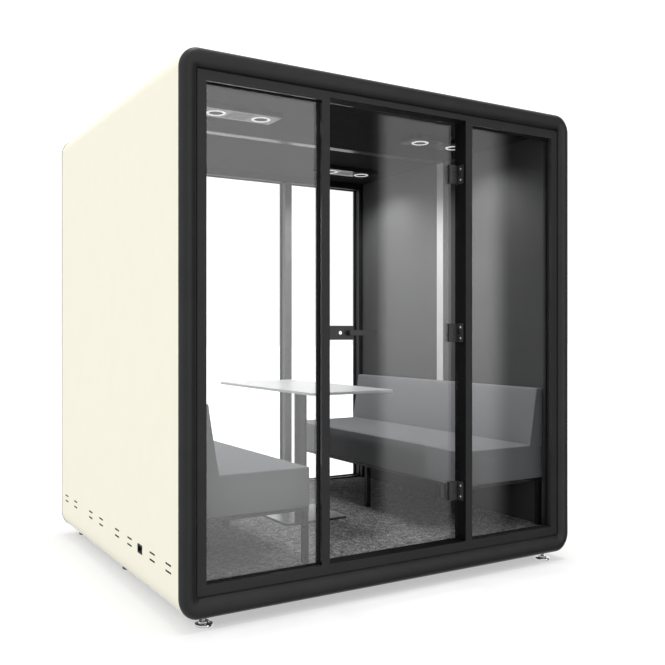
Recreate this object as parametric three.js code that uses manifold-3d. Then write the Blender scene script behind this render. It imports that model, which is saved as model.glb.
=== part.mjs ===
// Acoustic office pod: a free-standing meeting cabin with glazed front and back, two benches and a table.
// Millimetres, +Z up. X runs along the glazed front, Y from the front to the back, and Z = 0 is the floor.

import * as THREE from 'three';
import { mergeVertices } from 'three/addons/utils/BufferGeometryUtils.js';
import Module from 'manifold-3d';

// Clearances
const SEAT_GAP = 0.3;
const RUN_GAP = 0.4;
const CUT_PAST = 1;

// Facets of round pieces
const ROUND_SIDES = 16;
const PIN_SIDES = 10;
const BEND_STEPS = 3;
const SLOT_END_STEPS = 2;

// Outer frames, one at the front and one at the back
const FRAME_WIDTH = 2132;
const FRAME_HEIGHT = 2254;
const FRAME_BAND = 76;
const FRAME_HEAD_BAND = 84;
const FRAME_SILL_BAND = 90;
const FRAME_INNER_CORNER = 6;
const FRAME_FACE_Y = 945;
const FRAME_CROWN = 18;
const FRAME_FLANGE = 80;
const FRAME_ROUND_WIDTH = 32;
const FRAME_ROUND_DEPTH = 26;
const GROOVE_WIDTH = 4;
const GROOVE_DEPTH = 6;
const CORNER_STEPS = 6;
const CROWN_STEPS = 4;

// Shell panels
const PANEL_INSET = 2;
const PANEL_THICKNESS = 20;

// Levelling feet
const FOOT_HEIGHT = 45;
const FOOT_DISC_RADIUS = 38;
const FOOT_DISC_HEIGHT = 11;
const FOOT_COLLAR_RADIUS = 21;
const FOOT_COLLAR_HEIGHT = 9;
const FOOT_STEM_RADIUS = 9;
const FOOT_EDGE_X = 126;
const FOOT_EDGE_Y = 55;
const FOOT_MIDDLE_Y = 60;
const FOOT_RIM = 2;
const FOOT_SIDES = 14;

// Glazing frames and glass
const GLAZING_RECESS = 2;
const GLAZING_DEPTH = 80;
const PANE_FRAME_DEPTH = 55;
const DOOR_STOP_WIDTH = 20;
const JAMB_WIDTH = 40;
const MULLION_WIDTH = 40;
const REAR_MULLION_WIDTH = 50;
const RAIL_HEIGHT = 42;
const DOOR_HEAD_HEIGHT = 25;
const DOORWAY_WIDTH = 760;
const REAR_CENTRE_WIDTH = 728;
const PANE_SETBACK = 26;
const DOOR_SETBACK = 57;
const GLASS_THICKNESS = 10;
const GLASS_BITE = 10;

// Linings, floor and ceiling
const LINING_THICKNESS = 12;
const WALL_CORE_THICKNESS = 51.4;
const CARPET_TOP = 167;
const CARPET_THICKNESS = 7;
const STRIP_WIDTH = 60;
const STRIP_THICKNESS = 2.7;

// Ventilation slots and power inlet in the left side panel
const SLOT_LENGTH = 60;
const SLOT_HEIGHT = 6;
const SLOT_ROWS_Z = [216, 246];
const SLOT_PLACES_Y = [133, 323, 629, 822];
const INLET_Y = -469;
const INLET_Z = 230;
const INLET_WIDTH = 50;
const INLET_HEIGHT = 30;
const INLET_FLANGE = 5;
const INLET_FLANGE_THICKNESS = 1.5;
const INLET_DEPTH = 26;
const INLET_SOCKET_DEPTH = 18;
const INLET_WALL = 4;

// Glass door and its hinges
const DOOR_EDGE_GAP = 6;
const HINGE_SPACING = 763;
const HINGE_HEIGHT = 89;
const HINGE_PIN_SETBACK = 24;
const HINGE_PIN_RADIUS = 4;
const HINGE_BARREL_RADIUS = 9;
const HINGE_BARREL_HEIGHT = 28;
const HINGE_LEAF_WIDTH = 54;
const HINGE_LEAF_THICKNESS = 4.5;
const HINGE_PLATE_WIDTH = 46;
const HINGE_PLATE_PAST_PIN = 10;
const HINGE_PLATE_THICKNESS = 7.7;
const HINGE_EAR_WIDTH = 18;
const HINGE_EAR_PAST_PIN = 8;
const HINGE_NOTCH_HEIGHT = 60;
const HINGE_NOTCH_CLEARANCE = 4.5;
const HINGE_EDGE_ROUND = 4;

// Door lock with its lever
const LOCK_LENGTH = 140;
const LOCK_HEIGHT = 62;
const LOCK_THICKNESS = 14;
const LOCK_EDGE_GAP = 2;
const LOCK_ROUND = 5;
const LEVER_FROM_EDGE = 119;
const LEVER_LENGTH = 143;
const LEVER_HEIGHT = 23;
const LEVER_THICKNESS = 10;
const LEVER_ROUND = 9;
const LEVER_HUB_RADIUS = 11;
const LEVER_HUB_LENGTH = 14;
const SPINDLE_RADIUS = 6;
const SLEEVE_RADIUS = 10;
const KEY_FROM_EDGE = 71;
const KEY_RADIUS = 8;
const KEY_LENGTH = 14;
const KEY_PROUD = 2;
const KEY_SLOT_WIDTH = 2;
const KEY_SLOT_LENGTH = 9;
const KEY_SLOT_DEPTH = 4;
const BOLT_LENGTH = 44;
const BOLT_WIDTH = 10;
const BOLT_HEIGHT = 16;
const BOLT_TRAVEL = 3.4;
const STRIKE_THICKNESS = 1.5;
const STRIKE_WIDTH = 34;
const STRIKE_HEIGHT = 84;

// Benches
const BENCH_END_GAP = 7.7;
const BENCH_DEPTH = 549;
const SEAT_TOP = 595;
const SEAT_THICKNESS = 179;
const BACK_HEIGHT = 289;
const BACK_FOOT = 90;
const BACK_HEAD = 39;
const LEFT_BACK_THICKER = 34;
const BENCH_BOARD = 16;
const BENCH_BOARD_INSET = 4;
const BENCH_LEG = 25;
const BENCH_LEG_INSET = 1;
const CUSHION_EDGE = 10;
const CUSHION_EDGE_STEP = 3;
const SEAT_GRID = [3, 6, 2];
const BACK_GRID = [2, 6, 3];
const SEAT_CROWN = 5;
const BACK_CROWN = 4;
const SIDE_PULL = 3;

// Table
const TABLE_WIDTH = 487;
const TABLE_LENGTH = 1092;
const TABLE_TOP = 884;
const TABLE_THICKNESS = 13;
const TABLE_CORNER = 18;
const COLUMN_RADIUS = 35;
const COLUMN_FLANGE_WIDTH = 260;
const COLUMN_FLANGE_LENGTH = 420;
const COLUMN_FLANGE_THICKNESS = 5;
const TABLE_BASE_SIZE = 380;
const TABLE_BASE_THICKNESS = 12;
const TABLE_BASE_CORNER = 25;

// Ceiling units with ring lights and a grille, two of them with a fan
const UNIT_LENGTH = 390;
const UNIT_WIDTH = 150;
const UNIT_HEIGHT = 27;
const UNIT_WALL = 3;
const UNIT_FROM_WALL = 392;
const UNIT_FROM_END = 400.7;
const LIGHT_SPACING = 230;
const LIGHT_OUTER = 51;
const LIGHT_INNER = 34;
const LIGHT_PROUD = 3;
const GRILLE_SLOTS = 6;
const GRILLE_PITCH = 16;
const GRILLE_SLOT_WIDTH = 6;
const GRILLE_SLOT_LENGTH = 96;
const FAN_RADIUS = 46;
const FAN_HUB_RADIUS = 15;
const FAN_HEIGHT = 12;
const FAN_BLADES = 5;
const FAN_BLADE_THICKNESS = 2;
const FAN_BLADE_TILT = 0.6;
const FAN_PIN_RADIUS = 3;

// Levels and planes that follow from the sizes above
const frameHalf = FRAME_WIDTH / 2;
const frameCorner = FRAME_BAND + FRAME_INNER_CORNER;
const frameBottom = FOOT_HEIGHT;
const frameTop = FOOT_HEIGHT + FRAME_HEIGHT;
const frameInnerX = frameHalf - FRAME_BAND;
const frameInnerBottom = frameBottom + FRAME_SILL_BAND;
const frameInnerTop = frameTop - FRAME_HEAD_BAND;
const headCorner = frameCorner * FRAME_HEAD_BAND / FRAME_BAND;
const sillCorner = frameCorner * FRAME_SILL_BAND / FRAME_BAND;
const seamY = FRAME_FACE_Y + FRAME_CROWN - FRAME_ROUND_DEPTH;
const flangeY = FRAME_FACE_Y - FRAME_FLANGE;
const panelOuterX = frameHalf - PANEL_INSET;
const panelInnerX = panelOuterX - PANEL_THICKNESS;
const panelBottom = frameBottom + PANEL_INSET;
const panelTop = frameTop - PANEL_INSET;
const panelBendX = frameHalf - frameCorner;
const panelBend = frameCorner - PANEL_INSET;
const headBend = headCorner - PANEL_INSET;
const sillBend = sillCorner - PANEL_INSET;
const panelHalfY = seamY - SEAT_GAP;
const glazingFront = FRAME_FACE_Y - GLAZING_RECESS;
const glazingBack = glazingFront - GLAZING_DEPTH;
const paneFront = FRAME_FACE_Y - PANE_SETBACK;
const glassFront = FRAME_FACE_Y - DOOR_SETBACK;
const roomY = Math.min(glazingBack, flangeY) - SEAT_GAP;
const paneBottom = frameInnerBottom + RAIL_HEIGHT;
const paneTop = frameInnerTop - RAIL_HEIGHT;
const doorwayTop = frameInnerTop - DOOR_HEAD_HEIGHT;
const doorwayHalf = DOORWAY_WIDTH / 2;
const jambInner = frameInnerX - JAMB_WIDTH;
const ceilingZ = frameInnerTop;
const liningOuterX = panelInnerX - WALL_CORE_THICKNESS - 2 * SEAT_GAP;
const wallInnerX = liningOuterX - LINING_THICKNESS;
const platformTop = CARPET_TOP - CARPET_THICKNESS;
const benchLength = 2 * (roomY - BENCH_END_GAP);
const unitX = wallInnerX - UNIT_FROM_WALL;
const unitY = roomY - UNIT_FROM_END;

// Colours of the finishes
const CHARCOAL = { color: 0x2b2b2d, roughness: 0.45, metalness: 0.3 };
const CREAM = { color: 0xf4f0dc, roughness: 0.5, metalness: 0 };
const GLASS = { color: 0x8f9a9a, roughness: 0.05, metalness: 0, transparent: true, opacity: 0.3 };
const FELT = { color: 0x4b4a49, roughness: 0.95, metalness: 0 };
const CARPET = { color: 0x6e6d6b, roughness: 1, metalness: 0 };
const CORE = { color: 0xc9bd8e, roughness: 1, metalness: 0 };
const TIMBER = { color: 0xb4946a, roughness: 0.8, metalness: 0 };
const PALE = { color: 0xdcd8cc, roughness: 0.6, metalness: 0 };
const CHROME = { color: 0xd4d6d8, roughness: 0.12, metalness: 1 };
const BLACK = { color: 0x1b1b1c, roughness: 0.4, metalness: 0.4 };
const FABRIC = { color: 0x77777a, roughness: 0.95, metalness: 0 };
const STEEL_GREY = { color: 0x6f7072, roughness: 0.45, metalness: 0.6 };
const WHITE = { color: 0xf5f5f5, roughness: 0.35, metalness: 0 };
const LAMP_WHITE = { color: 0xe9e9e6, roughness: 0.4, metalness: 0 };
const PLASTIC = { color: 0x161617, roughness: 0.5, metalness: 0 };

const wasm = await Module();
wasm.setup();

const pod = new THREE.Group();

function add(name, geometry, finish) {
  const mesh = new THREE.Mesh(geometry, new THREE.MeshStandardMaterial(finish));
  mesh.name = name;
  pod.add(mesh);
}

// Only the positions of a geometry, with shared corners merged.
function bare(geometry) {
  const plain = geometry.clone();
  plain.deleteAttribute('normal');
  plain.deleteAttribute('uv');
  return mergeVertices(plain, 1e-4);
}

function solidOf(geometry) {
  const merged = bare(geometry);
  const vertProperties = new Float32Array(merged.attributes.position.array);
  const triVerts = new Uint32Array(merged.index.array);
  return new wasm.Manifold(new wasm.Mesh({ numProp: 3, vertProperties, triVerts }));
}

function geometryOf(solid) {
  const mesh = solid.getMesh();
  const geometry = new THREE.BufferGeometry();
  geometry.setAttribute('position', new THREE.BufferAttribute(new Float32Array(mesh.vertProperties), 3));
  geometry.setIndex(Array.from(mesh.triVerts));
  geometry.computeVertexNormals();
  return geometry;
}

function cut(geometry, ...tools) {
  return geometryOf(tools.reduce((solid, tool) => solid.subtract(solidOf(tool)), solidOf(geometry)));
}

function join(...pieces) {
  return geometryOf(pieces.map(solidOf).reduce((solid, piece) => solid.add(piece)));
}

// Turns a closed geometry the right way out, which a mirrored one isn't.
function outward(geometry) {
  const place = geometry.attributes.position;
  const index = Array.from(geometry.index.array);
  const corner = (i) => new THREE.Vector3().fromBufferAttribute(place, index[i]);
  let volume = 0;
  for (let i = 0; i < index.length; i += 3) {
    volume += corner(i).dot(corner(i + 1).cross(corner(i + 2)));
  }
  if (volume < 0) {
    index.reverse();
    geometry.setIndex(index);
  }
  geometry.computeVertexNormals();
  return geometry;
}

function block([x0, x1], [y0, y1], [z0, z1]) {
  const box = new THREE.BoxGeometry(Math.abs(x1 - x0), Math.abs(y1 - y0), Math.abs(z1 - z0));
  return box.translate((x0 + x1) / 2, (y0 + y1) / 2, (z0 + z1) / 2);
}

// A length centred on a place.
function about(place, length) {
  return [place - length / 2, place + length / 2];
}

function grown([low, high], gap) {
  return [Math.min(low, high) - gap, Math.max(low, high) + gap];
}

// A rod between two places along one axis.
function rod(axis, [from, to], radius, [a, b], sides = ROUND_SIDES) {
  const cylinder = new THREE.CylinderGeometry(radius, radius, Math.abs(to - from), sides);
  const middle = (from + to) / 2;
  if (axis === 'x') {
    return cylinder.rotateZ(Math.PI / 2).translate(middle, a, b);
  }
  if (axis === 'y') {
    return cylinder.translate(a, middle, b);
  }
  return cylinder.rotateX(Math.PI / 2).translate(a, b, middle);
}

function roundedRectangle([x0, x1], [y0, y1], radius) {
  const shape = new THREE.Shape();
  shape.moveTo(x0 + radius, y0);
  shape.lineTo(x1 - radius, y0);
  shape.absarc(x1 - radius, y0 + radius, radius, -Math.PI / 2, 0);
  shape.lineTo(x1, y1 - radius);
  shape.absarc(x1 - radius, y1 - radius, radius, 0, Math.PI / 2);
  shape.lineTo(x0 + radius, y1);
  shape.absarc(x0 + radius, y1 - radius, radius, Math.PI / 2, Math.PI);
  shape.lineTo(x0, y0 + radius);
  shape.absarc(x0 + radius, y0 + radius, radius, Math.PI, Math.PI * 1.5);
  return shape;
}

// A flat outline in X and Y, raised along Z.
function slab(shape, [z0, z1], steps = BEND_STEPS) {
  const options = { depth: z1 - z0, bevelEnabled: false, curveSegments: steps };
  return new THREE.ExtrudeGeometry(shape, options).translate(0, 0, z0);
}

// A flat outline in X and Z, stretched along Y.
function wall(shape, [y0, y1], steps = BEND_STEPS) {
  const options = { depth: y1 - y0, bevelEnabled: false, curveSegments: steps };
  return new THREE.ExtrudeGeometry(shape, options).rotateX(Math.PI / 2).translate(0, y1, 0);
}

// A section swept around a rounded rectangle that stands in X and Z, with a taller head and sill than sides.
// The section's points give the distance inwards from the outline at the sides, and the place along Y.
function ring(half, [bottom, top], radius, [sill, head], section) {
  const places = [];
  const corners = [
    [half - radius, top - head, head / radius],
    [radius - half, top - head, head / radius],
    [radius - half, bottom + sill, sill / radius],
    [half - radius, bottom + sill, sill / radius],
  ];
  corners.forEach(([x, z, taller], quarter) => {
    for (let step = 0; step <= CORNER_STEPS; step += 1) {
      const angle = (quarter + step / CORNER_STEPS) * Math.PI / 2;
      section.forEach(([inset, y]) => {
        const reach = radius - inset;
        places.push(x + reach * Math.cos(angle), y, z + reach * taller * Math.sin(angle));
      });
    }
  });
  const across = section.length;
  const around = places.length / 3 / across;
  const faces = [];
  for (let i = 0; i < around; i += 1) {
    for (let j = 0; j < across; j += 1) {
      const a = i * across + j;
      const b = i * across + (j + 1) % across;
      const c = ((i + 1) % around) * across + j;
      const d = ((i + 1) % around) * across + (j + 1) % across;
      faces.push(a, c, b, b, c, d);
    }
  }
  const geometry = new THREE.BufferGeometry();
  geometry.setAttribute('position', new THREE.Float32BufferAttribute(places, 3));
  geometry.setIndex(faces);
  return outward(geometry);
}

// Bullnose section of an outer frame. The face side is at -1 for the front and +1 for the back.
function frameSection(face) {
  const crownInset = FRAME_ROUND_WIDTH;
  const flangeInset = PANEL_INSET + PANEL_THICKNESS + SEAT_GAP;
  const points = [[flangeInset, flangeY], [flangeInset, seamY]];
  for (let step = 0; step <= CROWN_STEPS; step += 1) {
    const angle = step / CROWN_STEPS * Math.PI / 2;
    const inset = crownInset - FRAME_ROUND_WIDTH * Math.cos(angle);
    points.push([inset, seamY + FRAME_ROUND_DEPTH * Math.sin(angle)]);
  }
  const innerWidth = FRAME_BAND - GROOVE_WIDTH - crownInset;
  for (let step = 1; step <= CROWN_STEPS; step += 1) {
    const angle = step / CROWN_STEPS * Math.PI / 2;
    const inset = crownInset + innerWidth * Math.sin(angle);
    points.push([inset, FRAME_FACE_Y + FRAME_CROWN * Math.cos(angle)]);
  }
  points.push([FRAME_BAND, FRAME_FACE_Y - GROOVE_DEPTH], [FRAME_BAND, flangeY]);
  return points.map(([inset, y]) => [inset, face * y]);
}

function outerFrames() {
  for (const [name, face] of [['front_frame', -1], ['rear_frame', 1]]) {
    const section = frameSection(face);
    const height = [frameBottom, frameTop];
    add(name, ring(frameHalf, height, frameCorner, [sillCorner, headCorner], section), CHARCOAL);
  }
}

// Openings of a glazing frame, each with the glass that fills it.
function openings(face) {
  const front = face < 0;
  const centreHalf = front ? doorwayHalf : REAR_CENTRE_WIDTH / 2;
  const mullionOuter = centreHalf + (front ? MULLION_WIDTH : REAR_MULLION_WIDTH);
  const centreTop = front ? doorwayTop : paneTop;
  return [
    { x: [-jambInner, -mullionOuter], z: [paneBottom, paneTop], glazed: true },
    { x: [-centreHalf, centreHalf], z: [paneBottom, centreTop], glazed: !front },
    { x: [mullionOuter, jambInner], z: [paneBottom, paneTop], glazed: true },
  ];
}

function glazing() {
  const glassNames = {
    '-1': ['front_glass_left', null, 'front_glass_right'],
    1: ['rear_glass_left', 'rear_glass_centre', 'rear_glass_right'],
  };
  for (const [name, face] of [['front_glazing_frame', -1], ['rear_glazing_frame', 1]]) {
    const outer = grown([-frameInnerX, frameInnerX], -SEAT_GAP);
    const height = grown([frameInnerBottom, frameInnerTop], -SEAT_GAP);
    const depth = [face * glazingFront, face * glazingBack].sort((a, b) => a - b);
    const through = grown(depth, CUT_PAST);
    const glassY = [face * paneFront, face * (paneFront - GLASS_THICKNESS)];
    let frame = wall(roundedRectangle(outer, height, FRAME_INNER_CORNER), depth);
    openings(face).forEach(({ x, z, glazed }, i) => {
      frame = cut(frame, block(x, through, z));
      if (glazed) {
        const bite = [grown(x, GLASS_BITE), grown(z, GLASS_BITE)];
        const [rebateX, rebateZ] = bite.map((range) => grown(range, SEAT_GAP));
        frame = cut(frame, block(rebateX, grown(glassY, SEAT_GAP), rebateZ));
        add(glassNames[face][i], block(bite[0], glassY, bite[1]), GLASS);
      }
    });
    if (face < 0) {
      const head = [doorwayTop, frameInnerTop];
      frame = cut(frame, block([-doorwayHalf, doorwayHalf], through, grown(head, CUT_PAST)));
      const headX = grown([-doorwayHalf, doorwayHalf], -SEAT_GAP);
      const behind = [PANE_FRAME_DEPTH - glazingFront, CUT_PAST - glazingBack];
      const besideDoor = [doorwayHalf + DOOR_STOP_WIDTH, frameInnerX + CUT_PAST];
      const tall = grown(height, CUT_PAST);
      frame = cut(frame, block(besideDoor, behind, tall));
      frame = cut(frame, block([-besideDoor[1], -besideDoor[0]], behind, tall));
      add('door_head', block(headX, depth, [head[0], head[1] - SEAT_GAP]), CHARCOAL);
    }
    add(name, frame, CHARCOAL);
  }
}

// A side panel: a flat sheet whose top and bottom edges bend round the corner of the frames.
function sidePanelGeometry(side) {
  const inside = panelBend - PANEL_THICKNESS;
  const sillZ = panelBottom + sillBend;
  const headZ = panelTop - headBend;
  const quarter = Math.PI / 2;
  const shape = new THREE.Shape();
  shape.moveTo(panelBendX, panelBottom);
  shape.absellipse(panelBendX, sillZ, panelBend, sillBend, -quarter, 0);
  shape.absellipse(panelBendX, headZ, panelBend, headBend, 0, quarter);
  shape.lineTo(panelBendX, panelTop - PANEL_THICKNESS);
  shape.absellipse(panelBendX, headZ, inside, headBend - PANEL_THICKNESS, quarter, 0, true);
  shape.absellipse(panelBendX, sillZ, inside, sillBend - PANEL_THICKNESS, 0, -quarter, true);
  shape.closePath();
  const sheet = wall(shape, [-panelHalfY, panelHalfY], CORNER_STEPS);
  if (side > 0) {
    return sheet;
  }
  return outward(bare(sheet).scale(-1, 1, 1));
}

function slotTool(y, z) {
  const half = SLOT_LENGTH / 2;
  const shape = roundedRectangle([y - half, y + half], about(z, SLOT_HEIGHT), SLOT_HEIGHT / 2);
  const depth = PANEL_THICKNESS + 2 * CUT_PAST;
  const options = { depth, bevelEnabled: false, curveSegments: SLOT_END_STEPS };
  const tool = new THREE.ExtrudeGeometry(shape, options);
  return tool.rotateX(Math.PI / 2).rotateZ(Math.PI / 2).translate(-panelOuterX - CUT_PAST, 0, 0);
}

function shell() {
  const slots = [];
  for (const z of SLOT_ROWS_Z) {
    for (const place of SLOT_PLACES_Y) {
      slots.push(slotTool(place, z), slotTool(-place, z));
    }
  }
  const inletY = about(INLET_Y, INLET_WIDTH);
  const inletZ = about(INLET_Z, INLET_HEIGHT);
  const panelX = grown([-panelOuterX, -panelInnerX], CUT_PAST);
  const inletHole = block(panelX, grown(inletY, SEAT_GAP), grown(inletZ, SEAT_GAP));
  add('left_side_panel', cut(sidePanelGeometry(-1), ...slots, inletHole), CREAM);
  add('right_side_panel', sidePanelGeometry(1), CREAM);

  const flangeX = [-panelOuterX - SEAT_GAP - INLET_FLANGE_THICKNESS, -panelOuterX - SEAT_GAP];
  const flange = block(flangeX, grown(inletY, INLET_FLANGE), grown(inletZ, INLET_FLANGE));
  const body = block([flangeX[0], flangeX[0] + INLET_DEPTH], inletY, inletZ);
  const socketX = [flangeX[0] - CUT_PAST, flangeX[0] + INLET_SOCKET_DEPTH];
  const socket = block(socketX, grown(inletY, -INLET_WALL), grown(inletZ, -INLET_WALL));
  add('power_inlet', cut(join(flange, body), socket), PLASTIC);

  const flatX = grown([-panelBendX, panelBendX], -SEAT_GAP);
  const fullY = [-panelHalfY, panelHalfY];
  add('roof_panel', block(flatX, fullY, [panelTop - PANEL_THICKNESS, panelTop]), CREAM);
  add('base_tray', block(flatX, fullY, [panelBottom, panelBottom + PANEL_THICKNESS]), CHARCOAL);
}

function linings() {
  const room = [-roomY, roomY];
  const trayTop = panelBottom + PANEL_THICKNESS;
  const underRoof = panelTop - PANEL_THICKNESS - SEAT_GAP;
  const liningTop = ceilingZ + LINING_THICKNESS;
  const floorHalf = Math.min(panelBendX, wallInnerX) - SEAT_GAP;
  const coreZ = [panelBottom + sillBend, panelTop - headBend];
  const coreX = [liningOuterX + SEAT_GAP, panelInnerX - SEAT_GAP];
  const inletPocket = block(
    [-panelInnerX, -panelOuterX - SEAT_GAP - INLET_FLANGE_THICKNESS + INLET_DEPTH + SEAT_GAP],
    grown(about(INLET_Y, INLET_WIDTH), SEAT_GAP),
    grown(about(INLET_Z, INLET_HEIGHT), SEAT_GAP),
  );
  const platformZ = [trayTop + SEAT_GAP, platformTop - SEAT_GAP];
  add('floor_platform', block([-floorHalf, floorHalf], room, platformZ), TIMBER);
  add('carpet', block([-floorHalf, floorHalf], room, [platformTop, CARPET_TOP]), CARPET);
  add('ceiling_lining', block([-liningOuterX, liningOuterX], room, [ceilingZ, liningTop]), FELT);
  add('roof_core', block([-floorHalf, floorHalf], room, [liningTop + SEAT_GAP, underRoof]), CORE);
  const wallZ = [platformTop, ceilingZ - SEAT_GAP];
  const wallX = [wallInnerX, liningOuterX];
  add('right_wall_lining', block(wallX, room, wallZ), FELT);
  add('left_wall_lining', block(wallX.map((x) => -x), room, wallZ), FELT);
  add('right_wall_core', block(coreX, room, coreZ), CORE);
  add('left_wall_core', cut(block(coreX.map((x) => -x), room, coreZ), inletPocket), CORE);

  const stripY = about(0, STRIP_WIDTH);
  const stripX = [wallInnerX - SEAT_GAP - STRIP_THICKNESS, wallInnerX - SEAT_GAP];
  const ceilingStripZ = [ceilingZ - SEAT_GAP - STRIP_THICKNESS, ceilingZ - SEAT_GAP];
  const stripZ = [CARPET_TOP + SEAT_GAP, ceilingStripZ[0] - SEAT_GAP];
  add('right_joint_strip', block(stripX, stripY, stripZ), PALE);
  add('left_joint_strip', block(stripX.map((x) => -x), stripY, stripZ), PALE);
  add('ceiling_joint_strip', block([-stripX[1], stripX[1]], stripY, ceilingStripZ), PALE);
}

function feet() {
  const collarTop = FOOT_DISC_HEIGHT + FOOT_COLLAR_HEIGHT;
  const profile = [
    [0, 0],
    [FOOT_DISC_RADIUS - FOOT_RIM, 0],
    [FOOT_DISC_RADIUS, FOOT_RIM],
    [FOOT_DISC_RADIUS, FOOT_DISC_HEIGHT - FOOT_RIM],
    [FOOT_DISC_RADIUS - FOOT_RIM, FOOT_DISC_HEIGHT],
    [FOOT_COLLAR_RADIUS, FOOT_DISC_HEIGHT + FOOT_RIM],
    [FOOT_COLLAR_RADIUS, collarTop],
    [FOOT_STEM_RADIUS, collarTop],
    [FOOT_STEM_RADIUS, panelBottom - SEAT_GAP],
    [0, panelBottom - SEAT_GAP],
  ].map(([radius, z]) => new THREE.Vector2(radius, z));
  const footX = frameHalf - FOOT_EDGE_X;
  const footY = FRAME_FACE_Y - FOOT_EDGE_Y;
  for (const [row, y] of [['front', -footY], ['middle', FOOT_MIDDLE_Y], ['rear', footY]]) {
    for (const [hand, x] of [['left', -footX], ['right', footX]]) {
      const foot = new THREE.LatheGeometry(profile, FOOT_SIDES).rotateX(Math.PI / 2).translate(x, y, 0);
      add(`foot_${row}_${hand}`, outward(bare(foot)), CHROME);
    }
  }
}

// Places of the door, its hinge pins and its lock
const doorEdge = doorwayHalf - DOOR_EDGE_GAP;
const doorZ = [paneBottom + DOOR_EDGE_GAP, doorwayTop - DOOR_EDGE_GAP];
const doorY = [-glassFront, GLASS_THICKNESS - glassFront];
const pinX = doorwayHalf - HINGE_PIN_SETBACK;
const pinY = GLASS_THICKNESS / 2 - glassFront;
const lockZ = (frameInnerBottom + frameInnerTop) / 2;
const lockLeft = LOCK_EDGE_GAP - doorEdge;
const leverX = LEVER_FROM_EDGE - doorEdge;
const keyX = KEY_FROM_EDGE - doorEdge;
const caseY = [doorY[0] - SEAT_GAP - LOCK_THICKNESS, doorY[0] - SEAT_GAP];
const backPlateY = [doorY[1] + SEAT_GAP, doorY[1] + SEAT_GAP + LOCK_THICKNESS];
const hingePlaces = [
  ['bottom', lockZ - HINGE_SPACING],
  ['middle', lockZ],
  ['top', lockZ + HINGE_SPACING],
];

function hinges() {
  const earGap = HINGE_BARREL_HEIGHT + 2 * RUN_GAP;
  const earX = [pinX + HINGE_EAR_PAST_PIN - HINGE_EAR_WIDTH, pinX + HINGE_EAR_PAST_PIN];
  const leafX = [doorwayHalf - SEAT_GAP - HINGE_LEAF_THICKNESS, doorwayHalf - SEAT_GAP];
  const leafY = [pinY + HINGE_BARREL_RADIUS - HINGE_LEAF_WIDTH, pinY + HINGE_BARREL_RADIUS];
  const plateX = [pinX + HINGE_PLATE_PAST_PIN - HINGE_PLATE_WIDTH, pinX + HINGE_PLATE_PAST_PIN];
  const frontY = [doorY[0] - SEAT_GAP - HINGE_PLATE_THICKNESS, doorY[0] - SEAT_GAP];
  const backY = [doorY[1] + SEAT_GAP, doorY[1] + SEAT_GAP + HINGE_PLATE_THICKNESS];
  for (const [place, z] of hingePlaces) {
    const barrelZ = about(z, HINGE_BARREL_HEIGHT);
    const leaf = block(leafX, leafY, about(z, HINGE_HEIGHT));
    const arm = block([pinX, leafX[1]], about(pinY, 2 * HINGE_BARREL_RADIUS), barrelZ);
    const barrel = rod('z', barrelZ, HINGE_BARREL_RADIUS, [pinX, pinY]);
    const pin = rod('z', about(z, HINGE_NOTCH_HEIGHT), HINGE_PIN_RADIUS, [pinX, pinY], PIN_SIDES);
    add(`hinge_leaf_${place}`, join(leaf, arm, barrel, pin), BLACK);

    const plate = roundedRectangle(plateX, about(z, HINGE_HEIGHT), HINGE_EDGE_ROUND);
    const earZ = about(z, HINGE_NOTCH_HEIGHT - 2 * SEAT_GAP);
    const ears = block(earX, grown([frontY[0], backY[1]], -CUT_PAST), earZ);
    const clamp = join(wall(plate, frontY), wall(plate, backY), ears);
    const notchX = [pinX - HINGE_BARREL_RADIUS - HINGE_NOTCH_CLEARANCE, doorwayHalf];
    const notch = block(notchX, grown([frontY[0], backY[1]], CUT_PAST), about(z, earGap));
    const bore = rod('z', about(z, HINGE_HEIGHT), HINGE_PIN_RADIUS + RUN_GAP, [pinX, pinY], PIN_SIDES);
    add(`hinge_clamp_${place}`, cut(clamp, notch, bore), BLACK);
  }
}

function door() {
  const through = grown(doorY, CUT_PAST);
  const notchX = [pinX - HINGE_BARREL_RADIUS - HINGE_NOTCH_CLEARANCE - SEAT_GAP, doorwayHalf];
  const notches = hingePlaces.map(([, z]) => block(notchX, through, about(z, HINGE_NOTCH_HEIGHT)));
  const spindleHole = rod('y', through, SLEEVE_RADIUS + SEAT_GAP, [leverX, lockZ]);
  add('door_glass', cut(block([-doorEdge, doorEdge], doorY, doorZ), ...notches, spindleHole), GLASS);
}

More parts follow.
